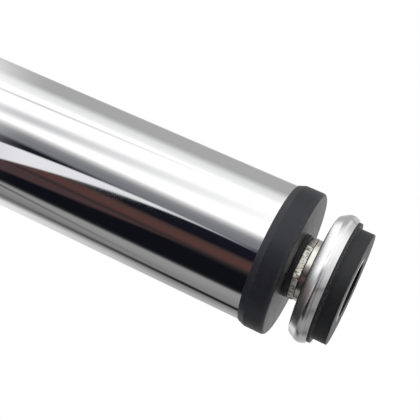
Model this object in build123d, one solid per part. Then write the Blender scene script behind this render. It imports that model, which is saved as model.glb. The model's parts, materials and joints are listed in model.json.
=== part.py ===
from build123d import *

import os

# A telescopic furniture leg in chromed steel tube, standing upright on a screw-in levelling foot.
# Z runs up the leg's axis, Z = 0 is the floor under the rubber pad, and lengths are in millimetres.

# Levelling foot: rubber pad, chromed dish, hex and collar, from the floor up
PAD_RADIUS = 24.2
PAD_TOP = 7.5
PAD_EDGE = 0.7
PAD_FLANGE_RADIUS = 26.3
PAD_FLANGE_BOTTOM = 6.2
PAD_RECESS_RADIUS = 12.2
PAD_RECESS_DEPTH = 1.5
PAD_CORE_TOP = 10.8
PAD_PLATE_RADIUS = 20.0
PAD_PLATE_THICK = 1.5
DISH_TOP = 15.8
DISH_TOP_RADIUS = 25.6
DISH_TOP_ROUNDING = 0.8
DISH_BEAD_RADIUS = 28.45
DISH_BEAD_HEIGHT = 11.0
DISH_BEAD_ROUNDING = 4.0
DISH_LIP_RADIUS = 26.9
DISH_CAVITY_RADIUS = 25.0
DISH_SKIN = 1.5
COLLAR_RADIUS = 13.4
COLLAR_TOP = 19.6
HEX_ACROSS_FLATS = 24.0
HEX_TOP = 22.5
HEX_CORNER_CHAMFER = 0.25
HEX_TURN = 10.5
STUD_RADIUS = 4.97
STUD_TOP = 57.0
STUD_HEAD_RADIUS = 8.0
STUD_HEAD_THICK = 1.9
WASHER_RADIUS = 10.0
WASHER_THICK = 1.0

# Black end cap and the plug inside the bottom of the outer tube
CAP_BOSS_RADIUS = 13.7
CAP_BOSS_BOTTOM = 22.6
CAP_BOTTOM = 24.2
CAP_TOP = 35.8
CAP_RADIUS = 31.4
CAP_RIM_RADIUS = 30.4
CAP_RIM_HEIGHT = 2.8
CAP_CORNER = 1.5
CAP_FLOOR = 3.0
PLUG_TOP = 58.0
PLUG_WALL = 2.0
PLUG_FLOOR = 3.0
PLUG_HUB_RADIUS = 12.5
PLUG_RIBS = 6
PLUG_RIB_THICK = 2.4
NUT_ACROSS_FLATS = 17.0
NUT_THICK = 8.0
BUFFER_THICK = 3.9
BUFFER_HOLE_RADIUS = 15.0

# Tubes, guide bushes and the lock at the top of the outer tube
OUTER_RADIUS = 30.0
INNER_RADIUS = 25.0
TUBE_WALL = 1.5
OUTER_TOP = 415.0
GUIDE_BOTTOM = 322.0
GUIDE_LAND = 15.0
GUIDE_RELIEF = 0.5
GLIDE_BOTTOM = 66.0
GLIDE_TOP = 80.0
CLIP_THICK = 1.2
CLIP_DEPTH = 0.6
CLIP_RADIUS = 27.2
CLIP_GAP = 9.0
LOCK_HEIGHT = 400.0
LOCK_HOLE_RADIUS = 4.5
LOCK_COLLAR_RADIUS = 33.0
LOCK_COLLAR_BOTTOM = 384.0
LOCK_COLLAR_TOP = 420.0
LOCK_COLLAR_EDGE = 1.5
LOCK_BOSS_RADIUS = 10.0
LOCK_BOSS_REACH = 41.0
INSERT_RADIUS = 6.0
LOCK_SCREW_RADIUS = 3.97
PRESSURE_PAD_THICK = 3.0
KNOB_START = 44.0
KNOB_HUB_LENGTH = 3.0
KNOB_HUB_RADIUS = 9.0
KNOB_THICK = 13.0
KNOB_RADIUS = 17.0
KNOB_LOBES = 6
KNOB_SCALLOP_RADIUS = 6.0
KNOB_EDGE = 1.8
KNOB_COVER_RADIUS = 7.5
KNOB_COVER_THICK = 1.5

# Mounting plate at the top
LEG_HEIGHT = 480.0
PLATE_RADIUS = 50.0
PLATE_THICK = 3.0
PLATE_EDGE = 0.8
PLATE_HOLES = 4
PLATE_HOLE_RADIUS = 2.75
PLATE_HOLE_CIRCLE = 80.0
PLATE_SINK_RADIUS = 5.0
BOSS_LENGTH = 26.0
BOSS_WALL = 5.0
GRUB_SCREWS = 3
GRUB_RADIUS = 2.97
GRUB_SOCKET_FLATS = 3.0
GRUB_SOCKET_DEPTH = 3.0
GRUB_DROP = 13.0

# Clearances: running fits between moving pieces, seats between fixed ones, and flat gaps
RUNNING = 0.06
SEAT = 0.03
FLAT_GAP = 0.1

OUTER_BORE = OUTER_RADIUS - TUBE_WALL
INNER_BORE = INNER_RADIUS - TUBE_WALL
TUBE_FOOT = CAP_BOTTOM + CAP_FLOOR + SEAT
PLATE_UNDERSIDE = LEG_HEIGHT - PLATE_THICK
BUFFER_TOP = PLUG_TOP + BUFFER_THICK
INNER_FOOT = BUFFER_TOP + FLAT_GAP
UPRIGHT = (Align.CENTER, Align.CENTER, Align.MIN)


def disc(radius, low, high):
    """A round solid on the leg's axis between two heights."""
    return Pos(0, 0, low) * Cylinder(radius, high - low, align=UPRIGHT)


def ring(outer, inner, low, high):
    """A round sleeve on the leg's axis between two heights."""
    return disc(outer, low, high) - disc(inner, low - 1, high + 1)


def hexagon(across_flats, low, high, turn=0.0):
    """A hexagonal prism on the leg's axis between two heights."""
    outline = RegularPolygon(across_flats / 2, 6, major_radius=False, rotation=turn)
    return extrude(Pos(0, 0, low) * outline, high - low)


def rod(radius, start, end, height=LOCK_HEIGHT):
    """A round solid along +X between two distances from the leg's axis."""
    return Pos(start, 0, height) * Rot(0, 90, 0) * Cylinder(radius, end - start, align=UPRIGHT)


def rim(shape, radius, height):
    """The circular edges of a shape that lie at one height with one radius."""
    circles = shape.edges().filter_by(GeomType.CIRCLE)
    return [e for e in circles if abs(e.radius - radius) < 0.01 and abs(e.arc_center.Z - height) < 0.01]


def chamfered_hexagon(across_flats, low, high, turn=0.0):
    """A hex nut's blank, with its corners turned down at both ends."""
    corner = across_flats / 3**0.5
    blank = disc(corner, low, high)
    turned_down = HEX_CORNER_CHAMFER * (corner - across_flats / 2)
    blank = chamfer(rim(blank, corner, low) + rim(blank, corner, high), turned_down)
    return hexagon(across_flats, low, high, turn) & blank


def rubber_pad():
    pad = disc(PAD_RADIUS, 0, PAD_TOP)
    pad = chamfer(rim(pad, PAD_RADIUS, 0), PAD_EDGE)
    pad += disc(PAD_FLANGE_RADIUS, PAD_FLANGE_BOTTOM, PAD_TOP)
    pad += disc(DISH_CAVITY_RADIUS - SEAT, PAD_TOP, PAD_CORE_TOP)
    pad -= disc(PAD_PLATE_RADIUS + SEAT, PAD_CORE_TOP - PAD_PLATE_THICK - SEAT, PAD_CORE_TOP)
    return pad - disc(PAD_RECESS_RADIUS, -1, PAD_RECESS_DEPTH)


def pad_plate():
    return disc(PAD_PLATE_RADIUS, PAD_CORE_TOP - PAD_PLATE_THICK, PAD_CORE_TOP)


def foot_dish():
    """A pressed dish with a sloping shoulder that runs into a round bead above the lip."""
    hole = STUD_RADIUS + RUNNING
    ceiling = DISH_TOP - DISH_SKIN
    outline = Polyline(
        (hole, DISH_TOP),
        (DISH_TOP_RADIUS, DISH_TOP),
        (DISH_BEAD_RADIUS, DISH_BEAD_HEIGHT),
        (DISH_LIP_RADIUS, PAD_TOP),
        (DISH_CAVITY_RADIUS, PAD_TOP),
        (DISH_CAVITY_RADIUS, PAD_CORE_TOP + 1),
        (DISH_CAVITY_RADIUS - 2 * DISH_SKIN, ceiling),
        (hole, ceiling),
        close=True,
    )
    dish = revolve(Plane.XZ * make_face(outline), axis=Axis.Z)
    dish = fillet(rim(dish, DISH_BEAD_RADIUS, DISH_BEAD_HEIGHT), DISH_BEAD_ROUNDING)
    return fillet(rim(dish, DISH_TOP_RADIUS, DISH_TOP), DISH_TOP_ROUNDING)


def thrust_washer():
    top = DISH_TOP - DISH_SKIN - FLAT_GAP
    return ring(WASHER_RADIUS, STUD_RADIUS + RUNNING, top - WASHER_THICK, top)


def foot_stud():
    """The threaded stud, riveted over under the dish."""
    head_top = DISH_TOP - DISH_SKIN - WASHER_THICK - 2 * FLAT_GAP
    head = disc(STUD_HEAD_RADIUS, head_top - STUD_HEAD_THICK, head_top)
    head = fillet(rim(head, STUD_HEAD_RADIUS, head_top - STUD_HEAD_THICK), STUD_HEAD_THICK / 2)
    shank = disc(STUD_RADIUS, head_top - STUD_HEAD_THICK / 2, STUD_TOP)
    shank = chamfer(rim(shank, STUD_RADIUS, STUD_TOP), 1.0)
    return head + shank


def flange_collar():
    """The round flange on the stud that the dish hangs from."""
    collar = ring(COLLAR_RADIUS, STUD_RADIUS, DISH_TOP + FLAT_GAP, COLLAR_TOP)
    return chamfer(rim(collar, COLLAR_RADIUS, COLLAR_TOP), 0.4)


def hex_nut():
    """The nut that a spanner turns to level the leg."""
    nut = chamfered_hexagon(HEX_ACROSS_FLATS, COLLAR_TOP, HEX_TOP, HEX_TURN)
    return nut - disc(STUD_RADIUS, COLLAR_TOP - 1, HEX_TOP + 1)


def end_cap():
    """The black cap over the tube's lower end, with a raised boss around the stud."""
    cap = disc(CAP_RADIUS, CAP_BOTTOM, CAP_TOP)
    cap = fillet(rim(cap, CAP_RADIUS, CAP_BOTTOM), CAP_CORNER)
    cap = chamfer(rim(cap, CAP_RADIUS, CAP_TOP), CAP_RIM_HEIGHT, CAP_RADIUS - CAP_RIM_RADIUS)
    cap -= disc(OUTER_RADIUS + SEAT, CAP_BOTTOM + CAP_FLOOR, CAP_TOP + 1)
    cap += disc(CAP_BOSS_RADIUS, CAP_BOSS_BOTTOM, CAP_BOTTOM + CAP_FLOOR / 2)
    return cap - disc(STUD_RADIUS + 0.4, CAP_BOSS_BOTTOM - 1, CAP_TOP)


def insert_plug():
    """The ribbed plug in the tube's lower end, with a hex pocket for the captive nut."""
    radius = OUTER_BORE - SEAT
    plug = disc(radius, TUBE_FOOT, TUBE_FOOT + PLUG_FLOOR)
    plug += ring(radius, radius - PLUG_WALL, TUBE_FOOT, PLUG_TOP)
    plug += disc(PLUG_HUB_RADIUS, TUBE_FOOT, PLUG_TOP)
    rib_height = PLUG_TOP - TUBE_FOOT - 1
    for k in range(PLUG_RIBS):
        rib = Box(radius - PLUG_WALL / 2, PLUG_RIB_THICK, rib_height, align=(Align.MIN, Align.CENTER, Align.MIN))
        plug += Rot(0, 0, k * 360 / PLUG_RIBS) * Pos(0, 0, TUBE_FOOT) * rib
    pocket_top = TUBE_FOOT + NUT_THICK + FLAT_GAP
    plug -= hexagon(NUT_ACROSS_FLATS + 2 * SEAT, TUBE_FOOT - 1, pocket_top)
    return plug - disc(STUD_RADIUS + 0.6, TUBE_FOOT, PLUG_TOP + 1)


def captive_nut():
    nut = chamfered_hexagon(NUT_ACROSS_FLATS, TUBE_FOOT, TUBE_FOOT + NUT_THICK)
    return nut - disc(STUD_RADIUS + RUNNING, TUBE_FOOT - 1, TUBE_FOOT + NUT_THICK + 1)


def stop_buffer():
    """The rubber ring that the inner tube comes down on."""
    return ring(OUTER_BORE - SEAT, BUFFER_HOLE_RADIUS, PLUG_TOP, BUFFER_TOP)


def outer_tube():
    tube = ring(OUTER_RADIUS, OUTER_BORE, TUBE_FOOT, OUTER_TOP)
    return tube - rod(LOCK_HOLE_RADIUS, 0, OUTER_RADIUS + 5)


def guide_bush():
    """The long liner in the mouth of the outer tube, relieved between its two lands."""
    bore = INNER_RADIUS + RUNNING
    bush = ring(OUTER_BORE - SEAT, bore, GUIDE_BOTTOM, OUTER_TOP)
    bush -= disc(bore + GUIDE_RELIEF, GUIDE_BOTTOM + GUIDE_LAND, OUTER_TOP - 2 * GUIDE_LAND)
    return bush - rod(LOCK_HOLE_RADIUS, 0, OUTER_RADIUS)


def lock_collar():
    """The black collar over the tube's mouth, with a boss for the lock screw."""
    collar = disc(LOCK_COLLAR_RADIUS, LOCK_COLLAR_BOTTOM, LOCK_COLLAR_TOP)
    edges = rim(collar, LOCK_COLLAR_RADIUS, LOCK_COLLAR_BOTTOM) + rim(collar, LOCK_COLLAR_RADIUS, LOCK_COLLAR_TOP)
    collar = fillet(edges, LOCK_COLLAR_EDGE)
    collar += rod(LOCK_BOSS_RADIUS, INNER_RADIUS, LOCK_BOSS_REACH)
    collar -= disc(OUTER_RADIUS + SEAT, LOCK_COLLAR_BOTTOM - 1, OUTER_TOP + SEAT)
    collar -= disc(INNER_RADIUS + GUIDE_RELIEF, OUTER_TOP, LOCK_COLLAR_TOP + 1)
    return collar - rod(INSERT_RADIUS + SEAT, INNER_RADIUS, LOCK_BOSS_REACH + 1)


def boss_insert():
    """The threaded brass insert in the collar's boss, saddled to the tube."""
    insert = rod(INSERT_RADIUS, INNER_RADIUS, LOCK_BOSS_REACH)
    insert -= disc(OUTER_RADIUS + SEAT, LOCK_COLLAR_BOTTOM, LOCK_COLLAR_TOP)
    return insert - rod(LOCK_SCREW_RADIUS + RUNNING, INNER_RADIUS, LOCK_BOSS_REACH + 1)


def glide_bush():
    """The glide that keeps the inner tube centred in the outer one."""
    bush = ring(OUTER_BORE - RUNNING, INNER_RADIUS + RUNNING, GLIDE_BOTTOM, GLIDE_TOP)
    ends = rim(bush, OUTER_BORE - RUNNING, GLIDE_BOTTOM) + rim(bush, OUTER_BORE - RUNNING, GLIDE_TOP)
    return chamfer(ends, 0.8)


def clip_heights():
    """The lower faces of the two retaining rings, one under and one over the glide."""
    return (GLIDE_BOTTOM - FLAT_GAP - CLIP_THICK, GLIDE_TOP + FLAT_GAP)


def retaining_rings():
    """Two open rings that snap into grooves in the inner tube."""
    groove_radius = INNER_RADIUS - CLIP_DEPTH + SEAT
    rings = []
    for low in clip_heights():
        clip = ring(CLIP_RADIUS, groove_radius, low, low + CLIP_THICK)
        gap = Box(CLIP_RADIUS + 1, CLIP_GAP, CLIP_THICK + 2, align=(Align.MIN, Align.CENTER, Align.CENTER))
        rings.append(clip - Pos(0, 0, low + CLIP_THICK / 2) * gap)
    return Compound(children=rings)


def grub_places():
    """One placement per grub screw, each at the tube's surface with X pointing outwards."""
    height = PLATE_UNDERSIDE - GRUB_DROP
    return [Rot(0, 0, 60 + k * 360 / GRUB_SCREWS) * Pos(0, 0, height) for k in range(GRUB_SCREWS)]


def inner_tube():
    tube = ring(INNER_RADIUS, INNER_BORE, INNER_FOOT, PLATE_UNDERSIDE)
    for low in clip_heights():
        tube -= ring(INNER_RADIUS + 1, INNER_RADIUS - CLIP_DEPTH, low - SEAT, low + CLIP_THICK + SEAT)
    for place in grub_places():
        tube -= place * rod(GRUB_RADIUS + SEAT, 0, INNER_RADIUS + 2, 0)
    return tube


def plate_boss():
    """The welded ring that the inner tube fits over."""
    radius = INNER_BORE - SEAT
    boss = ring(radius, radius - BOSS_WALL, PLATE_UNDERSIDE - BOSS_LENGTH, PLATE_UNDERSIDE)
    boss = chamfer(rim(boss, radius, PLATE_UNDERSIDE - BOSS_LENGTH), 1.0)
    for place in grub_places():
        boss -= place * rod(GRUB_RADIUS + SEAT, 0, INNER_RADIUS, 0)
    return boss


def grub_screws():
    """Socket set screws that hold the inner tube on the plate's boss."""
    screws = []
    for place in grub_places():
        screw = rod(GRUB_RADIUS, INNER_BORE - BOSS_WALL, INNER_RADIUS - 0.2, 0)
        socket = RegularPolygon(GRUB_SOCKET_FLATS / 2, 6, major_radius=False)
        socket = extrude(Plane.YZ.offset(INNER_RADIUS - GRUB_SOCKET_DEPTH) * socket, GRUB_SOCKET_DEPTH + 1)
        screws.append(place * (screw - socket))
    return Compound(children=screws)


def mounting_plate():
    """The round plate under the table top, with holes countersunk from below."""
    plate = disc(PLATE_RADIUS, PLATE_UNDERSIDE, LEG_HEIGHT)
    plate = fillet(rim(plate, PLATE_RADIUS, PLATE_UNDERSIDE), PLATE_EDGE)
    sink_depth = PLATE_SINK_RADIUS - PLATE_HOLE_RADIUS
    for k in range(PLATE_HOLES):
        place = Rot(0, 0, (k + 0.5) * 360 / PLATE_HOLES) * Pos(PLATE_HOLE_CIRCLE / 2, 0, 0)
        sink = Cone(PLATE_SINK_RADIUS, PLATE_HOLE_RADIUS, sink_depth, align=UPRIGHT)
        plate -= place * disc(PLATE_HOLE_RADIUS, PLATE_UNDERSIDE - 1, LEG_HEIGHT + 1)
        plate -= place * Pos(0, 0, PLATE_UNDERSIDE) * sink
    return plate


def pressure_pad():
    """The shoe on the tip of the lock screw, which bears on the inner tube."""
    start = INNER_RADIUS + FLAT_GAP
    return rod(LOCK_SCREW_RADIUS - 0.1, start, start + PRESSURE_PAD_THICK)


def lock_screw():
    start = INNER_RADIUS + 2 * FLAT_GAP + PRESSURE_PAD_THICK
    return rod(LOCK_SCREW_RADIUS, start, KNOB_START + KNOB_HUB_LENGTH + KNOB_THICK / 2)


def lock_knob():
    """A lobed hand knob moulded on the lock screw."""
    outline = Circle(KNOB_RADIUS)
    for place in PolarLocations(KNOB_RADIUS + KNOB_SCALLOP_RADIUS / 2, KNOB_LOBES):
        outline -= place * Circle(KNOB_SCALLOP_RADIUS)
    outline = fillet(outline.vertices(), KNOB_EDGE)
    head = extrude(outline, KNOB_THICK)
    faces = head.faces().sort_by(Axis.Z)
    head = fillet(faces[0].edges() + faces[-1].edges(), KNOB_EDGE)
    head = Pos(KNOB_START + KNOB_HUB_LENGTH, 0, LOCK_HEIGHT) * Rot(0, 90, 0) * head
    knob_end = KNOB_START + KNOB_HUB_LENGTH + KNOB_THICK
    knob = head + rod(KNOB_HUB_RADIUS, KNOB_START, KNOB_START + KNOB_HUB_LENGTH + KNOB_THICK / 2)
    knob -= rod(KNOB_COVER_RADIUS + SEAT, knob_end - KNOB_COVER_THICK, knob_end + 1)
    return knob - lock_screw()


def knob_cover():
    """The round cover in the knob's outer face."""
    end = KNOB_START + KNOB_HUB_LENGTH + KNOB_THICK
    return rod(KNOB_COVER_RADIUS, end - KNOB_COVER_THICK, end + 0.2)


PIECES = (
    rubber_pad,
    pad_plate,
    foot_dish,
    thrust_washer,
    foot_stud,
    flange_collar,
    hex_nut,
    end_cap,
    insert_plug,
    captive_nut,
    stop_buffer,
    outer_tube,
    guide_bush,
    lock_collar,
    boss_insert,
    glide_bush,
    retaining_rings,
    inner_tube,
    plate_boss,
    grub_screws,
    mounting_plate,
    pressure_pad,
    lock_screw,
    lock_knob,
    knob_cover,
)

os.makedirs("parts", exist_ok=True)
for piece in PIECES:
    export_step(piece(), f"parts/{piece.__name__}.step")
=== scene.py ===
import cmath
import json
import math

import bmesh
import bpy
from mathutils import Matrix, Vector


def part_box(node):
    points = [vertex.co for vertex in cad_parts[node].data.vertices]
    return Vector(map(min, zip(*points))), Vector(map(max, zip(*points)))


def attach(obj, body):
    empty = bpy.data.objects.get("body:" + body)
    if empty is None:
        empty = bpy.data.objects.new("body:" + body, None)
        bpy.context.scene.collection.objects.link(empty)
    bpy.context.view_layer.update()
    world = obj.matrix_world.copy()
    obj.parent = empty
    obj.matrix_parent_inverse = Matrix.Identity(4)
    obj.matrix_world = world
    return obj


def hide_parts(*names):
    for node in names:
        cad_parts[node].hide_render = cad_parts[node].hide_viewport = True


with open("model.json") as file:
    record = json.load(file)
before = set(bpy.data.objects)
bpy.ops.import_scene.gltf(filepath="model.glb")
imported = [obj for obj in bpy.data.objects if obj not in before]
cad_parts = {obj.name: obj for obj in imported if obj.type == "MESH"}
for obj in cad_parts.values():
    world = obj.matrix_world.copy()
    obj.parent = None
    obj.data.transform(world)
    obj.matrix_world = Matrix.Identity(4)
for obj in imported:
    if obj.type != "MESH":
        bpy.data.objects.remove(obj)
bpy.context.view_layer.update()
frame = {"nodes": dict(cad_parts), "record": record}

# A telescopic chromed furniture leg, upright on its levelling foot. Outlines are in millimetres,
# as (radius, height), and everything that is handed to Blender is in metres.
MM = 0.001
scene = bpy.context.scene
scene.view_settings.view_transform = "Standard"
record = frame["record"]
BODY_OF = {name: body for body, names in record["behaviour"]["bodies"].items() for name in names}
SLOT_OF = {part["node"]: part["material_slot"] for part in record["subparts"]}

# ---- Camera: close to the foot and a little under it, rolled so that the leg runs down to the right
# Distance and height are in metres, angles in degrees, the lens and its sensor in millimetres.
CAMERA_DISTANCE = 0.3553
CAMERA_HEIGHT = -0.020
CAMERA_TILT = 13.73
CAMERA_PAN = 0.98
CAMERA_ROLL = -65.75
CAMERA_LENS = 74.6
CAMERA_SENSOR = 36
CAMERA_NEAR = 0.01


def make_camera():
    tilt, pan, roll = (math.radians(a) for a in (CAMERA_TILT, CAMERA_PAN, CAMERA_ROLL))
    ahead = Vector((math.sin(pan) * math.cos(tilt), math.cos(pan) * math.cos(tilt), math.sin(tilt)))
    level = ahead.cross(Vector((0, 0, 1))).normalized()
    above = level.cross(ahead)
    right = math.cos(roll) * level + math.sin(roll) * above
    up = math.cos(roll) * above - math.sin(roll) * level
    turn = Matrix((right, up, -ahead)).transposed().to_4x4()
    data = bpy.data.cameras.new("camera")
    data.lens = CAMERA_LENS
    data.sensor_width = CAMERA_SENSOR
    data.clip_start = CAMERA_NEAR
    camera = bpy.data.objects.new("camera", data)
    camera.matrix_world = Matrix.Translation((0, -CAMERA_DISTANCE, CAMERA_HEIGHT)) @ turn
    scene.collection.objects.link(camera)
    scene.camera = camera


make_camera()


# ---- Small helpers for node trees
class Tree:
    """A node tree with short calls. A socket argument is either a socket to link or a plain value."""

    def __init__(self, tree):
        self.tree = tree

    def node(self, kind, **settings):
        made = self.tree.nodes.new(kind)
        for name, value in settings.items():
            setattr(made, name, value)
        return made

    def plug(self, socket, value):
        if isinstance(value, bpy.types.NodeSocket):
            self.tree.links.new(value, socket)
        else:
            socket.default_value = value

    def math(self, operation, *values, clamp=False):
        made = self.node("ShaderNodeMath", operation=operation, use_clamp=clamp)
        for socket, value in zip(made.inputs, values):
            self.plug(socket, value)
        return made.outputs[0]

    def fade(self, value, low, high, start=0.0, end=1.0):
        made = self.node("ShaderNodeMapRange", interpolation_type="SMOOTHSTEP")
        names = ("Value", "From Min", "From Max", "To Min", "To Max")
        for name, setting in zip(names, (value, low, high, start, end)):
            self.plug(made.inputs[name], setting)
        return made.outputs["Result"]

    def mix(self, share, a, b):
        made = self.node("ShaderNodeMix", data_type="RGBA")
        self.plug(made.inputs[0], share)
        self.plug(made.inputs[6], a)
        self.plug(made.inputs[7], b)
        return made.outputs[2]

    def ramp(self, value, stops):
        """Stops are (place, colour), with a colour as a grey number or three numbers."""
        made = self.node("ShaderNodeValToRGB")
        elements = made.color_ramp.elements
        elements.remove(elements[1])
        for k, (place, colour) in enumerate(stops):
            stop = elements[0] if k == 0 else elements.new(place)
            stop.position = place
            stop.color = (colour, colour, colour, 1) if isinstance(colour, (int, float)) else (*colour, 1)
        self.plug(made.inputs[0], value)
        return made.outputs[0]

    def place(self, stretch=(1, 1, 1)):
        """The point on the piece, in metres times stretch."""
        where = self.node("ShaderNodeTexCoord").outputs["Object"]
        made = self.node("ShaderNodeMapping")
        self.plug(made.inputs["Vector"], where)
        made.inputs["Scale"].default_value = stretch
        return made.outputs[0]

    def noise(self, size, detail=2.0, rough=0.5, stretch=(1, 1, 1), warp=0.0):
        """Cloudy noise whose blotches are about size millimetres across."""
        made = self.node("ShaderNodeTexNoise")
        self.plug(made.inputs["Vector"], self.place(stretch))
        made.inputs["Scale"].default_value = 1 / (size * MM)
        made.inputs["Detail"].default_value = detail
        made.inputs["Roughness"].default_value = rough
        made.inputs["Distortion"].default_value = warp
        return made.outputs[0]

    def grain(self, size):
        """Pebbled grain with pebbles about size millimetres across."""
        made = self.node("ShaderNodeTexVoronoi", feature="SMOOTH_F1")
        self.plug(made.inputs["Vector"], self.place())
        made.inputs["Scale"].default_value = 1 / (size * MM)
        return made.outputs["Distance"]

    def attribute(self, name):
        """The mesh attribute of this name, which is 0 on a mesh that doesn't carry it."""
        return self.node("ShaderNodeAttribute", attribute_name=name).outputs["Fac"]


# ---- Studio: soft cards and dark flags round the leg, a bright ceiling and a pale floor
# Azimuth is 0 towards the camera's side and grows towards -X. All angles are in degrees.
# AROUND is the light behind the cards, as (azimuth, grey or colour).
AROUND = (
    (-180, 0.60), (-166, 0.60), (-156, 0.40), (-110, 0.40), (-103, 0.56), (-97, 0.76), (-84, 0.92),
    (-79, 1.12), (-20, 1.12), (-14.5, 0.56), (-9.5, (0.270, 0.270, 0.285)), (-4, (0.202, 0.204, 0.224)),
    (2.5, (0.185, 0.187, 0.207)), (7.2, (0.008, 0.0085, 0.015)), (22, (0.008, 0.0075, 0.013)),
    (26.5, (0.062, 0.040, 0.036)), (33, (0.098, 0.042, 0.038)), (38, (0.078, 0.041, 0.039)),
    (44, (0.024, 0.019, 0.018)), (49, (0.005, 0.0055, 0.0085)), (76, (0.005, 0.0055, 0.0085)), (80.5, 0.02),
    (86, 0.29), (94, 0.28), (108, 0.22), (128, 0.22), (146, 0.40), (158, 0.42), (168, 0.60),
)
# Each card is (left edge, right edge, softness, share, colour): an edge is its azimuth at the elevation
# LEVEL, its lean and its curl, and a share is how much the card covers there and how much more for each
# degree above it. Below LEAN_LOW and above LEAN_HIGH the edges run straight on.
LEVEL = 14.6
LEAN_LOW, LEAN_HIGH = 6.0, 30.0
CARDS = (
    ((44.0, 0.0, 0.0), (44.0, 1.35, 0.0), 3.0, (0.9, 0.0), (0.070, 0.042, 0.043)),
    ((4.3, -0.04, 0.075), (7.0, 0.55, 0.175), 1.4, (0.66, 0.12), (0.80, 0.80, 0.82)),
    ((-52.0, 0.65, 0.0), (-38.0, 0.65, 0.0), 6.0, (0.26, 0.030), (0.28, 0.28, 0.29)),
    ((-77.5, 0.55, 0.0), (-73.5, 0.55, 0.0), 1.5, (0.14, 0.035), (0.30, 0.30, 0.31)),
    ((106.0, -1.4, 0.0), (110.0, -1.4, 0.0), 2.5, (0.10, 0.060), (0.060, 0.060, 0.062)),
    ((128.0, 0.0, 0.0), (200.0, 0.0, 0.0), 8.0, (0.02, 0.060), (0.95, 0.95, 0.95)),
    ((115.5, -0.35, 0.0), (124.0, -0.35, 0.0), 3.0, (0.95, -0.055), (0.012, 0.012, 0.014)),
)
# Above and below the cards the studio is softer, and lighter on the white cards' side. Each of the two
# fades in between its own pair of elevations.
ABOVE = (
    (-180, 0.60), (-150, 0.90), (-115, 1.10), (-14, 1.10), (8, 0.55), (20, 0.33), (40, (0.19, 0.155, 0.155)),
    (62, (0.13, 0.105, 0.105)), (80, 0.05), (112, 0.03), (132, 0.12), (150, 0.30),
)
ABOVE_FROM, ABOVE_FULL = 26.0, 34.0
BELOW = (
    (-180, 1.00), (-174, 1.00), (-166, 0.66), (-150, 0.56), (-139, 0.56), (-137.5, 0.16), (-134, 0.16),
    (-132, 0.68), (-100, 0.84), (-80, 0.97), (-50, 0.97), (-32, 0.80), (-12, 0.66), (12, 0.42), (19, 0.38),
    (20.5, 0.05), (24, 0.05), (26, 0.29), (65, 0.27), (66.5, 0.04), (71, 0.04), (73, 0.28), (114, 0.28),
    (115, 0.08), (118, 0.08), (119, 0.34), (150, 0.40), (166, 0.66), (174, 1.00),
)
BELOW_FROM, BELOW_FULL = 7.0, -6.0
# Between these elevations the cards show again, faintly, for plating that is looked down on.
AGAIN_FROM, AGAIN_FULL, AGAIN_LAST, AGAIN_END = -11.0, -15.0, -25.0, -30.0
AGAIN_SHARE = 0.6
# The soft box overhead, in metres and watts.
LAMP_HEIGHT = 2.0
LAMP_SIZE = 4.0
LAMP_POWER = 84.0


def edge_distance(t, azimuth, rise, edge):
    """Degrees from a card's leaning edge to the azimuth, rise degrees above LEVEL."""
    start, lean, curl = edge
    slope = t.math("MULTIPLY_ADD", rise, curl, lean)
    return t.math("SUBTRACT", azimuth, t.math("MULTIPLY_ADD", slope, rise, start))


def light_round(t, turn, stops):
    """The light of a table of (azimuth, light), at a turn that goes from 0 to 1 round the leg."""
    return t.ramp(turn, [((azimuth + 180) / 360, light) for azimuth, light in stops])


def make_studio():
    world = bpy.data.worlds.new("studio")
    scene.world = world
    world.use_nodes = True
    t = Tree(world.node_tree)
    t.tree.nodes.clear()
    split = t.node("ShaderNodeSeparateXYZ")
    t.plug(split.inputs[0], t.node("ShaderNodeTexCoord").outputs["Generated"])
    x, y, z = split.outputs
    azimuth = t.math("ARCTAN2", t.math("MULTIPLY", x, -1), t.math("MULTIPLY", y, -1))
    azimuth = t.math("MULTIPLY", azimuth, 180 / math.pi)
    elevation = t.math("MULTIPLY", t.math("ARCSINE", z, clamp=False), 180 / math.pi)
    rise = t.math("SUBTRACT", t.math("MINIMUM", t.math("MAXIMUM", elevation, LEAN_LOW), LEAN_HIGH), LEVEL)
    turn = t.math("MULTIPLY_ADD", azimuth, 1 / 360, 0.5)
    colour = light_round(t, turn, AROUND)
    for left, right, soft, share, paint in CARDS:
        cover = t.math("MULTIPLY_ADD", rise, share[1], share[0], clamp=True)
        inside = t.fade(edge_distance(t, azimuth, rise, left), -soft, soft, 0, cover)
        outside = t.fade(edge_distance(t, azimuth, rise, right), -soft, soft, 1, 0)
        colour = t.mix(t.math("MULTIPLY", inside, outside), colour, (*paint, 1))
    again = t.fade(elevation, AGAIN_END, AGAIN_LAST, 0, AGAIN_SHARE)
    again = t.fade(elevation, AGAIN_FROM, AGAIN_FULL, 0, again)
    above = t.fade(elevation, ABOVE_FROM, ABOVE_FULL)
    below = t.math("SUBTRACT", t.fade(elevation, BELOW_FROM, BELOW_FULL), again)
    colour = t.mix(above, colour, light_round(t, turn, ABOVE))
    colour = t.mix(below, colour, light_round(t, turn, BELOW))
    dome, backdrop = t.node("ShaderNodeBackground"), t.node("ShaderNodeBackground")
    t.plug(dome.inputs["Color"], colour)
    backdrop.inputs["Color"].default_value = (1, 1, 1, 1)
    pick, out = t.node("ShaderNodeMixShader"), t.node("ShaderNodeOutputWorld")
    t.plug(pick.inputs[0], t.node("ShaderNodeLightPath").outputs["Is Camera Ray"])
    t.plug(pick.inputs[1], dome.outputs[0])
    t.plug(pick.inputs[2], backdrop.outputs[0])
    t.plug(out.inputs[0], pick.outputs[0])


def make_lamp():
    """A large soft box overhead, which lights the floor and is kept out of the plating's reflections."""
    data = bpy.data.lights.new("soft_box", "AREA")
    data.shape, data.size, data.energy = "SQUARE", LAMP_SIZE, LAMP_POWER
    lamp = bpy.data.objects.new("soft_box", data)
    lamp.location.z = LAMP_HEIGHT
    lamp.visible_glossy = False
    lamp.visible_camera = False
    scene.collection.objects.link(lamp)


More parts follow.
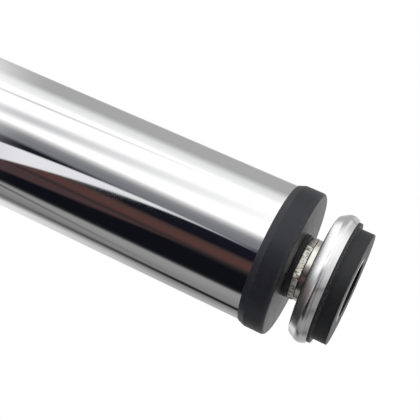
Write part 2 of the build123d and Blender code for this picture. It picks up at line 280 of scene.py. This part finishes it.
# The floor lies a hair under the sole, so that the two faces don't share a plane.
FLOOR_RADIUS = 0.65
FLOOR_HEIGHT = -0.0001


def make_floor():
    """A round pale table top under the leg, which is clear from below."""
    mesh = bpy.data.meshes.new("floor")
    shape = bmesh.new()
    bmesh.ops.create_circle(shape, cap_ends=True, segments=128, radius=FLOOR_RADIUS)
    shape.to_mesh(mesh)
    shape.free()
    floor = bpy.data.objects.new("floor", mesh)
    floor.location.z = FLOOR_HEIGHT
    floor.visible_glossy = False
    scene.collection.objects.link(floor)
    material = bpy.data.materials.new("floor")
    material.use_nodes = True
    t = Tree(material.node_tree)
    shader = material.node_tree.nodes["Principled BSDF"]
    t.plug(shader.inputs["Base Color"], t.ramp(t.noise(30, 3), ((0.3, 0.90), (0.7, 0.92))))
    shader.inputs["Roughness"].default_value = 1.0
    shader.inputs["Specular IOR Level"].default_value = 0.0
    top_only, clear = t.node("ShaderNodeMixShader"), t.node("ShaderNodeBsdfTransparent")
    t.plug(top_only.inputs[0], t.node("ShaderNodeNewGeometry").outputs["Backfacing"])
    t.plug(top_only.inputs[1], shader.outputs[0])
    t.plug(top_only.inputs[2], clear.outputs[0])
    t.plug(material.node_tree.nodes["Material Output"].inputs["Surface"], top_only.outputs[0])
    mesh.materials.append(material)


make_studio()
make_lamp()
make_floor()


# ---- Finishes: one procedural material for each of the record's slots
# Colours that lie over a finish, and how much of it they cover where their mask is full.
GRIME = (0.16, 0.13, 0.10, 1)
GRIME_SHARE = 0.72
SCUFFED = (0.34, 0.34, 0.35, 1)
THIN_COAT = (0.30, 0.29, 0.28, 1)
THIN_SHARE = 0.10
SPECK_SHARE = 0.20
# The share of its roughness that a rubbed patch has lost.
RUBBED_SMOOTHER = 0.88


def new_finish(slot, metallic=0.0):
    material = bpy.data.materials.new(slot)
    material.use_nodes = True
    shader = material.node_tree.nodes["Principled BSDF"]
    shader.inputs["Metallic"].default_value = metallic
    return material, Tree(material.node_tree), shader


def bump(t, shader, *layers):
    """Layers are (height, depth in micrometres), chained into the shader's normal."""
    normal = None
    for height, depth in layers:
        made = t.node("ShaderNodeBump")
        made.inputs["Strength"].default_value = 1.0
        made.inputs["Distance"].default_value = depth * 1e-6
        t.plug(made.inputs["Height"], height)
        if normal:
            t.plug(made.inputs["Normal"], normal)
        normal = made.outputs[0]
    t.plug(shader.inputs["Normal"], normal)


def grime_mask(t):
    """Blotches and short marks, only on the pieces whose mesh carries the grime attribute."""
    blotches = t.fade(t.noise(1.6, 4, 0.65, warp=1.0), 0.52, 0.66)
    strokes = t.fade(t.noise(0.75, 1, 0.5, (1, 1, 0.30), 0.5), 0.57, 0.62)
    return t.math("MULTIPLY", t.attribute("grime"), t.math("MAXIMUM", blotches, strokes))


def chrome(slot, tint, smooth, smudge):
    """Bright plating with faint polishing lines round the leg, smudges and a few fine scratches."""
    material, t, shader = new_finish(slot, metallic=1.0)
    cloud = t.noise(22, 4, 0.6, (1, 1, 0.45), 0.6)
    t.plug(shader.inputs["Base Color"], t.ramp(cloud, ((0.35, tint), (0.75, tuple(0.975 * c for c in tint)))))
    lines = t.noise(0.5, 2, 0.7, (0.04, 0.04, 1))
    marks = t.math("MULTIPLY", t.fade(cloud, 0.5, 0.72), smudge)
    fine = t.math("MULTIPLY", lines, 0.02)
    t.plug(shader.inputs["Roughness"], t.math("ADD", t.math("ADD", marks, fine), smooth))
    scratch = t.fade(t.noise(1.1, 2, 0.5, (0.12, 1, 0.35), 1.5), 0.70, 0.74)
    bump(t, shader, (lines, 0.12), (scratch, 0.25), (t.noise(60, 1), 4))
    return material


def machined(slot, light, dark, rough, line):
    """Turned or stamped metal: tool lines round the axis, stains, worn bright edges and grime."""
    material, t, shader = new_finish(slot, metallic=1.0)
    stain = t.noise(5, 5, 0.62, warp=0.8)
    colour = t.ramp(stain, ((0.32, light), (0.72, dark)))
    colour = t.mix(t.math("MULTIPLY", t.attribute("edge"), 0.5), colour, (*light, 1))
    grime = grime_mask(t)
    t.plug(shader.inputs["Base Color"], t.mix(t.math("MULTIPLY", grime, GRIME_SHARE), colour, GRIME))
    lines = t.noise(line, 3, 0.7, (0.05, 0.05, 1))
    spread = t.math("ADD", t.math("MULTIPLY", stain, 0.16), t.math("MULTIPLY", lines, 0.10))
    spread = t.math("MULTIPLY_ADD", grime, 0.15, spread)
    t.plug(shader.inputs["Roughness"], t.math("ADD", spread, rough))
    bump(t, shader, (lines, 2.5), (t.noise(0.25, 2), 1.2))
    return material


def moulded(slot, light, dark, rough, pebble, depth, wear):
    """Moulded plastic or rubber: pebbled skin, mottling, dust, scuffed edges and parts rubbed smooth."""
    material, t, shader = new_finish(slot)
    mottle = t.noise(3.2, 6, 0.65, warp=0.4)
    colour = t.ramp(mottle, ((0.30, dark), (0.70, light)))
    speck = t.fade(t.noise(0.5, 2, 0.5), 0.70, 0.78)
    dust = (*(min(1.0, 2.2 * c + 0.02) for c in light), 1)
    colour = t.mix(t.math("MULTIPLY", speck, SPECK_SHARE), colour, dust)
    scuff = t.math("MULTIPLY", t.attribute("edge"), t.fade(t.noise(1.6, 4, 0.7), 0.42, 0.62))
    t.plug(shader.inputs["Base Color"], t.mix(t.math("MULTIPLY", scuff, wear), colour, SCUFFED))
    spread = t.math("MULTIPLY_ADD", mottle, 0.22, rough - 0.11)
    spread = t.math("SUBTRACT", spread, t.math("MULTIPLY", scuff, 0.08))
    unrubbed = t.math("MULTIPLY_ADD", t.attribute("rubbed"), -RUBBED_SMOOTHER, 1.0)
    t.plug(shader.inputs["Roughness"], t.math("MULTIPLY", spread, unrubbed))
    fine = t.noise(pebble * 0.45, 2)
    bump(t, shader, (t.grain(pebble), depth), (mottle, depth * 1.5), (fine, depth * 0.5))
    return material


def coated(slot, light, dark, rough):
    """Powder coat: orange peel, small nibs and edges where it has thinned."""
    material, t, shader = new_finish(slot)
    cloud = t.noise(9, 5, 0.6)
    colour = t.ramp(cloud, ((0.3, dark), (0.7, light)))
    thin = t.math("MULTIPLY", t.attribute("edge"), t.fade(t.noise(2.2, 4, 0.7), 0.50, 0.60))
    t.plug(shader.inputs["Base Color"], t.mix(t.math("MULTIPLY", thin, THIN_SHARE), colour, THIN_COAT))
    t.plug(shader.inputs["Roughness"], t.math("MULTIPLY_ADD", cloud, 0.2, rough - 0.1))
    bump(t, shader, (t.noise(1.3, 1), 35), (t.noise(0.35, 2), 5))
    return material


# A metal is (light, dark, roughness, size of its tool lines), and a moulding is (light, dark, roughness,
# size of a pebble, depth in micrometres, wear of its edges). Sizes are in millimetres.
MACHINED = {
    "nickel_steel": ((0.94, 0.92, 0.87), (0.72, 0.67, 0.59), 0.06, 0.35),
    "zinc_steel": ((0.74, 0.75, 0.76), (0.52, 0.52, 0.50), 0.26, 0.25),
    "spring_steel": ((0.42, 0.42, 0.44), (0.22, 0.21, 0.20), 0.30, 0.35),
    "brass": ((0.86, 0.66, 0.34), (0.62, 0.43, 0.20), 0.24, 0.25),
}
MOULDED = {
    "black_nylon": ((0.0125, 0.0135, 0.0190), (0.0080, 0.0086, 0.0130), 0.38, 0.55, 9, 0.03),
    "plug_nylon": ((0.050, 0.050, 0.054), (0.032, 0.032, 0.035), 0.55, 0.7, 14, 0.1),
    "grey_cover": ((0.20, 0.20, 0.21), (0.15, 0.15, 0.16), 0.42, 0.5, 10, 0.2),
    "white_acetal": ((0.83, 0.82, 0.78), (0.74, 0.73, 0.69), 0.38, 0.9, 6, 0.05),
    "black_rubber": ((0.0150, 0.0160, 0.0190), (0.0085, 0.0092, 0.0120), 0.46, 0.35, 9, 0.10),
}
FINISHES = {
    "chromed_tube": chrome("chromed_tube", (0.955, 0.957, 0.965), 0.025, 0.05),
    "chromed_dish": chrome("chromed_dish", (0.975, 0.975, 0.98), 0.18, 0.12),
    "black_steel": coated("black_steel", (0.026, 0.026, 0.028), (0.017, 0.017, 0.019), 0.42),
    **{slot: machined(slot, *settings) for slot, settings in MACHINED.items()},
    **{slot: moulded(slot, *settings) for slot, settings in MOULDED.items()},
}
for name, piece in frame["nodes"].items():
    piece.data.materials.clear()
    piece.data.materials.append(FINISHES[SLOT_OF[name]])


# ---- Outlines and shells
def span(name):
    """Lowest height, highest height and radius about the leg's axis of a CAD node, in millimetres."""
    low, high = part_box(name)
    return low.z / MM, high.z / MM, max(high.y, -low.y) / MM


# A rounding has a support row on both sides, this far along the flat, or at this share of a short flat.
SUPPORT = 0.3


def soften(corners, turns=5):
    """Rounds the corners (radius, height, rounding) of a closed outline, as points (radius, height, edge)."""
    points = []
    for k, (r, z, rounding) in enumerate(corners):
        here = complex(r, z)
        if not rounding:
            points.append((r, z, 0.0))
            continue
        back = complex(*corners[k - 1][:2]) - here
        ahead = complex(*corners[(k + 1) % len(corners)][:2]) - here
        half = abs(cmath.phase(ahead / back)) / 2
        reach = rounding / math.tan(half)
        back_way, ahead_way = back / abs(back), ahead / abs(ahead)
        bisector = back_way + ahead_way
        centre = here + bisector / abs(bisector) * rounding / math.sin(half)
        start, end = here + back_way * reach, here + ahead_way * reach
        sweep = cmath.phase((end - centre) / (start - centre))
        before = start + back_way * SUPPORT * min(1, abs(back) - reach)
        after = end + ahead_way * SUPPORT * min(1, abs(ahead) - reach)
        points.append((before.real, before.imag, 0.0))
        for j in range(turns + 1):
            point = centre + (start - centre) * cmath.rect(1, sweep * j / turns)
            points.append((point.real, point.imag, 1.0))
        points.append((after.real, after.imag, 0.0))
    return points


def shell(rows, steps=192, turn=None):
    """A closed surface round the Z axis, moved by turn. A row is (radius, height, edge), and its radius
    is a number or a function of the angle."""
    mesh = bpy.data.meshes.new("shell")
    angles = [2 * math.pi * k / steps for k in range(steps)]
    points, edges = [], []
    for radius, height, edge in rows:
        for angle in angles:
            r = radius(angle) if callable(radius) else radius
            points.append((r * math.cos(angle) * MM, r * math.sin(angle) * MM, height * MM))
            edges.append(edge)
    faces = []
    for i in range(len(rows)):
        j = (i + 1) % len(rows)
        if not any(callable(rows[n][0]) or rows[n][0] for n in (i, j)):
            continue
        for k in range(steps):
            n = (k + 1) % steps
            faces.append((i * steps + k, i * steps + n, j * steps + n, j * steps + k))
    mesh.from_pydata(points, [], faces)
    mesh.attributes.new("edge", "FLOAT", "POINT").data.foreach_set("value", edges)
    clean(mesh)
    if turn:
        mesh.transform(turn)
    return mesh


def clean(mesh):
    """Merges doubled points and turns every face outwards."""
    shape = bmesh.new()
    shape.from_mesh(mesh)
    bmesh.ops.remove_doubles(shape, verts=shape.verts, dist=1e-7)
    bmesh.ops.recalc_face_normals(shape, faces=shape.faces)
    shape.to_mesh(mesh)
    shape.free()


def mark(mesh, name, inside):
    """Writes an attribute that is 1 at the mesh's points that pass a test and 0 at the others."""
    values = [float(inside(vertex.co)) for vertex in mesh.vertices]
    mesh.attributes.new(name, "FLOAT", "POINT").data.foreach_set("value", values)


def thread(crest, depth, pitch, low, high):
    """Rows of a screw thread between two heights, running out to its root at both ends."""
    count = round((high - low) / pitch * 10)
    rows = []
    for k in range(count + 1):
        z = low + (high - low) * k / count
        rise = min(1.0, (z - low) / (0.8 * pitch), (high - z) / (0.8 * pitch))

        def radius(angle, z=z, rise=rise):
            saw = abs(2 * ((z / pitch - angle / (2 * math.pi)) % 1) - 1)
            return crest - depth * (1 - rise * min(1.0, max(0.0, 1.3 * saw - 0.15)))

        rows.append((radius, z, 0.0))
    return rows


def stand_for(name, mesh, sharp=38):
    """Puts a finished mesh in the place of a CAD node, with its body and its material slot."""
    for face in mesh.polygons:
        face.use_smooth = True
    mesh.set_sharp_from_angle(angle=math.radians(sharp))
    mesh.materials.clear()
    mesh.materials.append(FINISHES[SLOT_OF[name]])
    piece = bpy.data.objects.new(f"{name}_surface", mesh)
    scene.collection.objects.link(piece)
    normals = piece.modifiers.new("normals", "WEIGHTED_NORMAL")
    normals.keep_sharp = True
    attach(piece, BODY_OF[name])
    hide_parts(name)


def combine(mesh, *steps):
    """The mesh after a list of (operation, other mesh) booleans."""
    base = bpy.data.objects.new("base", mesh)
    scene.collection.objects.link(base)
    tools = [base]
    for operation, other in steps:
        tool = bpy.data.objects.new("tool", other)
        scene.collection.objects.link(tool)
        tools.append(tool)
        made = base.modifiers.new("cut", "BOOLEAN")
        made.operation, made.object, made.solver = operation, tool, "EXACT"
    bpy.context.view_layer.update()
    result = bpy.data.meshes.new_from_object(base.evaluated_get(bpy.context.evaluated_depsgraph_get()))
    for tool in tools:
        bpy.data.objects.remove(tool)
    return result


def join(meshes):
    """One mesh from several."""
    shape = bmesh.new()
    for mesh in meshes:
        shape.from_mesh(mesh)
    joined = bpy.data.meshes.new("joined")
    shape.to_mesh(joined)
    shape.free()
    return joined


def sideways(height):
    """Turns a shell's axis to +X at a height in millimetres."""
    return Matrix.Translation((0, 0, height * MM)) @ Matrix.Rotation(math.pi / 2, 4, "Y")


def plain(radius, low, high):
    """Rows of a plain round tool."""
    return [(0, low, 0), (radius, low, 0), (radius, high, 0), (0, high, 0)]


def reach_of(name):
    """Lowest and highest X of a CAD node, in millimetres."""
    return (corner.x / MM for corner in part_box(name))


# ---- Dimensions inside the pieces, which their boxes don't give, in millimetres and degrees
TUBE_WALL = 1.5
TUBE_SOCKET = 30.03
LOCK_HEIGHT = 400.0
LOCK_HOLE_RADIUS = 4.5
LOCK_PITCH = 1.25
STUD_RADIUS = 4.97
STUD_PITCH = 1.5
HEX_ACROSS_FLATS = 24.0
HEX_TURN = 10.5
HEX_CORNER = 0.8705
GRUB_HEIGHT = 464.0
GRUB_PITCH = 1.0
PLATE_HOLE_CIRCLE = 40.0


# ---- Levelling foot
def make_rubber_pad():
    low, high, _ = span("rubber_pad")
    side, flange, flange_low, flange_top, rim = 24.2, 26.3, 6.2, 7.5, 24.95
    pocket, recess, depth = 20.1, 12.2, 1.5
    rubbed, rubbed_front = 14.4, -3.5
    # The last two rows lie close inside and outside the rubbed patch, so that its edge is sharp.
    pad = shell(soften([
        (side, low, 0.2), (side, flange_low, 0.3), (flange, flange_low, 0.35), (flange, flange_top, 0.1),
        (rim, flange_top, 0.05), (rim, high, 0.3), (pocket, high, 0), (pocket, high - depth, 0),
        (0, high - depth, 0), (0, low + depth, 0), (recess, low + depth, 0.3), (recess, low, 0.2),
        (rubbed - 0.1, low, 0), (rubbed + 0.2, low, 0),
    ]))

    def is_rubbed(point):
        """On the sole, by the recess's edge, on the camera's side."""
        at = point / MM
        return at.z < low + 0.02 and at.xy.length < rubbed and at.y < rubbed_front

    mark(pad, "rubbed", is_rubbed)
    stand_for("rubber_pad", pad)


def make_foot_dish():
    low, high, bulge = span("foot_dish")
    hole, shoulder, lip, skirt, roof, skin = 5.03, 25.6, 26.9, 25.0, 22.0, 1.5
    bead, bead_height, bead_rounding, skirt_top = bulge + 0.49, 11.0, 4.0, 11.8
    corners = [
        (hole, high, 0.2), (shoulder, high, 0.8), (bead, bead_height, bead_rounding), (lip, low, 0.3),
        (skirt, low, 0.1), (skirt, skirt_top, 0), (roof, high - skin, 0), (hole, high - skin, 0),
    ]
    stand_for("foot_dish", shell(soften(corners, 16), 256))


def make_stud():
    low, high, head = span("foot_stud")
    head_top, bare_top, thread_low, depth, tip = low + 1.9, 21.4, 21.8, 0.85, 3.4
    rows = [
        (0, low, 0), (head - 1.2, low, 1), (head - 0.35, low + 0.3, 1), (head, low + 0.95, 1),
        (head, low + 1.8, 1), (head - 0.1, head_top, 1), (STUD_RADIUS, head_top, 0), (STUD_RADIUS, bare_top, 0),
        *thread(STUD_RADIUS, depth, STUD_PITCH, thread_low, high - 1.2), (tip, high, 1), (0, high, 0),
    ]
    stand_for("foot_stud", shell(rows, 64))


def make_flange_collar():
    low, high, radius = span("flange_collar")
    inner = 12.9
    corners = [
        (STUD_RADIUS, low, 0), (radius, low, 0.3), (radius, high, 0.45), (inner, high, 0),
        (STUD_RADIUS, high, 0),
    ]
    stand_for("flange_collar", shell(soften(corners)))


def hexagon(angle):
    """Distance from the axis to the hex nut's side, with its corners barely rounded."""
    off_flat = (math.degrees(angle) - HEX_TURN) % 60 - 30
    return HEX_ACROSS_FLATS / 2 / max(math.cos(math.radians(off_flat)), HEX_CORNER)


def make_hex_nut():
    low, high, _ = span("hex_nut")

    def row(inset, limit, height, edge):
        """The hexagon, pulled in by inset and turned down to the radius limit."""
        return (lambda angle: min(limit, hexagon(angle) - inset), height, edge)

    rows = [
        (STUD_RADIUS, low, 0), row(0.7, 13.2, low, 0), row(0.22, 13.35, low, 1),
        row(0.06, 13.45, low + 0.07, 1), row(0, 13.5, low + 0.24, 1), row(0, 13.9, low + 0.5, 0),
        row(0, 13.9, high - 0.5, 0), row(0, 13.5, high - 0.24, 1), row(0.06, 13.45, high - 0.07, 1),
        row(0.22, 13.35, high, 1), row(0.7, 13.2, high, 0), (STUD_RADIUS + 0.5, high, 0),
        (STUD_RADIUS, high - 0.4, 1),
    ]
    nut = shell(rows, 720)
    mark(nut, "grime", lambda point: True)
    stand_for("hex_nut", nut, 25)


# ---- Outer leg
def make_end_cap():
    low, high, radius = span("end_cap")
    face, boss, bore, web, rim = 24.2, 13.7, 5.37, 3.0, 2.8
    corners = [
        (bore, low, 0.3), (boss, low, 0.35), (boss, face, 0.25), (radius, face, 1.5), (radius, high - rim, 0.6),
        (radius - 1.0, high, 0.15), (TUBE_SOCKET, high, 0.1), (TUBE_SOCKET, face + web, 0),
        (bore, face + web, 0),
    ]
    stand_for("end_cap", shell(soften(corners, 6), 256))


def make_outer_tube():
    low, high, radius = span("outer_tube")
    bore = radius - TUBE_WALL
    corners = [(bore, low, 0.3), (radius, low, 0.3), (radius, high, 0.3), (bore, high, 0.3)]
    hole = shell(plain(LOCK_HOLE_RADIUS, 0, radius + 5), 48, sideways(LOCK_HEIGHT))
    stand_for("outer_tube", combine(shell(soften(corners, 3), 256), ("DIFFERENCE", hole)))


def make_lock_collar():
    low, high, radius = span("lock_collar")
    _, reach = reach_of("lock_collar")
    guide, shelf, insert = 25.5, 415.03, 6.03
    outline = [(0, low, 0), (radius, low, 1.5)]
    for z in (low + 5, high - 5):
        outline += [(radius, z - 0.5, 0.15), (radius - 0.45, z, 0.2), (radius, z + 0.5, 0.15)]
    outline += [(radius, high, 1.5), (0, high, 0)]
    boss = [
        (0, 20, 0), (13.5, 20, 0), (13.0, 31.2, 0), (11.4, 32.2, 0), (10.5, 33.2, 0), (10.1, 34.4, 0),
        (10, 36, 0), (10, reach - 1, 0), (9.8, reach - 0.35, 1), (9.3, reach, 1), (6.5, reach, 0),
        (0, reach, 0),
    ]
    bore = [
        (0, low - 5, 0), (TUBE_SOCKET, low - 5, 0), (TUBE_SOCKET, shelf, 0), (guide, shelf, 0),
        (guide, high - 0.5, 0), (guide + 0.5, high, 0), (guide + 1, high + 1, 0), (0, high + 1, 0),
    ]
    across = sideways(LOCK_HEIGHT)
    steps = (
        ("UNION", shell(boss, 96, across)),
        ("DIFFERENCE", shell(bore, 192)),
        ("DIFFERENCE", shell(plain(insert, 20, reach + 5), 64, across)),
    )
    stand_for("lock_collar", combine(shell(soften(outline, 4), 192), *steps), 30)


# ---- Inner leg
def grub_turns():
    """The turn about the leg's axis of each grub screw."""
    return [Matrix.Rotation(math.radians(60 + 120 * k), 4, "Z") for k in range(3)]


def make_inner_tube():
    low, high, radius = span("inner_tube")
    bore = radius - TUBE_WALL
    corners = [(bore, low, 0.3), (radius, low, 0.3), (radius, high, 0.2), (bore, high, 0.3)]
    hole = plain(3.0, 15, radius + 2)
    holes = join([shell(hole, 48, turn @ sideways(GRUB_HEIGHT)) for turn in grub_turns()])
    stand_for("inner_tube", combine(shell(soften(corners, 3), 256), ("DIFFERENCE", holes)))


def make_grub_screws():
    radius, socket, start, end = 2.97, 1.5, 18.5, 24.8

    def hexed(angle):
        """Distance from the screw's axis to the side of its hexagon socket."""
        return socket / math.cos(math.radians(math.degrees(angle) % 60 - 30))

    rows = [
        (0, start, 0), (2.2, start, 1), *thread(radius, 0.45, GRUB_PITCH, start + 0.6, end - 0.2),
        (2.4, end, 1), (1.95, end, 0), (hexed, end - 0.25, 1), (hexed, end - 3, 0), (0, end - 3.4, 0),
    ]
    screws = [shell(rows, 96, turn @ sideways(GRUB_HEIGHT)) for turn in grub_turns()]
    stand_for("grub_screws", join(screws))


def make_mounting_plate():
    low, high, radius = span("mounting_plate")
    corners = [(0, low, 0), (radius, low, 0.8), (radius, high, 0.25), (0, high, 0)]
    head, shank, sink = 5.0, 2.75, 2.25
    hole = [
        (0, low - 1, 0), (head + 0.3, low - 1, 0), (head + 0.3, low - 0.05, 0), (head, low, 0),
        (shank, low + sink, 0), (shank, high - 0.15, 0), (shank + 0.2, high + 0.05, 0),
        (shank + 0.2, high + 1, 0), (0, high + 1, 0),
    ]
    out = Matrix.Translation((PLATE_HOLE_CIRCLE * MM, 0, 0))
    holes = join([shell(hole, 64, Matrix.Rotation(math.radians(45 + 90 * k), 4, "Z") @ out) for k in range(4)])
    stand_for("mounting_plate", combine(shell(soften(corners, 6), 256), ("DIFFERENCE", holes)), 30)


# ---- Lock screw, knob and cover
def make_lock_screw():
    low, high = reach_of("lock_screw")
    tip, crest, depth = 2.9, 3.97, 0.7
    rows = [(0, low, 0), (tip, low, 1), *thread(crest, depth, LOCK_PITCH, low + 0.5, high - 0.3), (0, high, 0)]
    stand_for("lock_screw", shell(rows, 64, sideways(LOCK_HEIGHT)))


def lobes():
    """Radii round the knob, one for each degree: a circle with six scallops and eased corners between them."""
    knob, scallop_centre, scallop, ease = 17.0, 20, 6, 3
    raw = []
    for k in range(360):
        off = math.radians((k + 30) % 60 - 30)
        bite = scallop ** 2 - (scallop_centre * math.sin(off)) ** 2
        raw.append(min(knob, scallop_centre * math.cos(off) - math.sqrt(bite)) if bite > 0 else knob)
    for _ in range(3):
        raw = [sum(raw[(k + j) % 360] for j in range(-ease, ease + 1)) / (2 * ease + 1) for k in range(360)]
    return raw


def make_lock_knob():
    low, high = reach_of("lock_knob")
    around = lobes()
    head = low + 3
    hub, bore, pocket = 9.0, 4.2, 7.53

    def row(inset, height, edge):
        """The lobed outline, pulled in by inset."""
        return (lambda angle: around[round(math.degrees(angle)) % 360] - inset, height, edge)

    rows = [
        (bore, low, 0), (hub - 0.4, low, 1), (hub, low + 0.4, 1), (hub, head - 0.6, 0), (hub + 0.5, head, 0),
        row(2.6, head, 0), row(1.8, head, 1), row(1.11, head + 0.14, 1), row(0.53, head + 0.53, 1),
        row(0.14, head + 1.11, 1), row(0, head + 1.8, 1), row(0, head + 2.4, 0), row(0, high - 2.8, 0),
        row(0, high - 2.2, 1), row(0.15, high - 1.3, 1), row(0.6, high - 0.6, 1), row(1.3, high - 0.16, 1),
        row(2.2, high, 1), row(3.2, high, 0), (8.2, high, 0), (7.75, high - 0.08, 1), (pocket, high - 0.3, 1),
        (pocket, high - 1.5, 0), (bore, high - 1.5, 0),
    ]
    stand_for("lock_knob", shell(rows, 360, sideways(LOCK_HEIGHT)))


def make_knob_cover():
    low, high = reach_of("knob_cover")
    rows = [
        (0, low, 0), (7.5, low, 0), (7.5, high - 0.5, 0), (7.4, high - 0.3, 1), (7.1, high - 0.2, 1),
        (6.5, high - 0.15, 0), (3.5, high - 0.03, 0), (0, high, 0),
    ]
    stand_for("knob_cover", shell(rows, 96, sideways(LOCK_HEIGHT)))


for make in (
    make_rubber_pad, make_foot_dish, make_stud, make_flange_collar, make_hex_nut, make_end_cap, make_outer_tube,
    make_lock_collar, make_inner_tube, make_grub_screws, make_mounting_plate, make_lock_screw, make_lock_knob,
    make_knob_cover,
):
    make()
